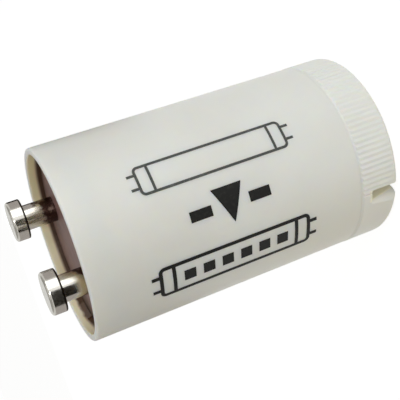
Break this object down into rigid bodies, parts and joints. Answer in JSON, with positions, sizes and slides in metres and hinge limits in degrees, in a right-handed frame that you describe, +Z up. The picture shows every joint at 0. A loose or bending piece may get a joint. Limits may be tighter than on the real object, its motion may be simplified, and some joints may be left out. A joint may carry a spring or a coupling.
{
  "type": "fluorescent starter",
  "caption": "Round plug-in lamp starter: a pale ribbed plastic can with an end slot, and headed contact pins standing on a recessed brown disc.",
  "frame": {"origin": "centre of the can's closed end, on the surface that it stands on", "axes": "+Z up the can's axis from the closed end to the pins; the two pins lie on the X axis, at -X and +X"},
  "size_m": [0.0214, 0.0214, 0.0393],
  "materials": {
    "can_plastic": "off-white moulded plastic with a soft sheen",
    "disc_laminate": "dull brown pressed laminate",
    "pin_metal": "bright nickel plate on turned brass",
    "solder_metal": "bright soft solder",
    "lead_metal": "tinned wire",
    "cap_metal": "nickel plate",
    "fuse_glass": "clear glass"
  },
  "bodies": {
    "root": {"can": "can_plastic", "base_disc": "disc_laminate", "contact_pin_left": "pin_metal", "contact_pin_right": "pin_metal", "solder_left": "solder_metal", "solder_right": "solder_metal", "lead_left": "lead_metal", "lead_right": "lead_metal", "fuse_cap_upper": "cap_metal", "fuse_cap_lower": "cap_metal", "fuse_tube": "fuse_glass", "fuse_wire": "lead_metal"}
  },
  "joints": []
}
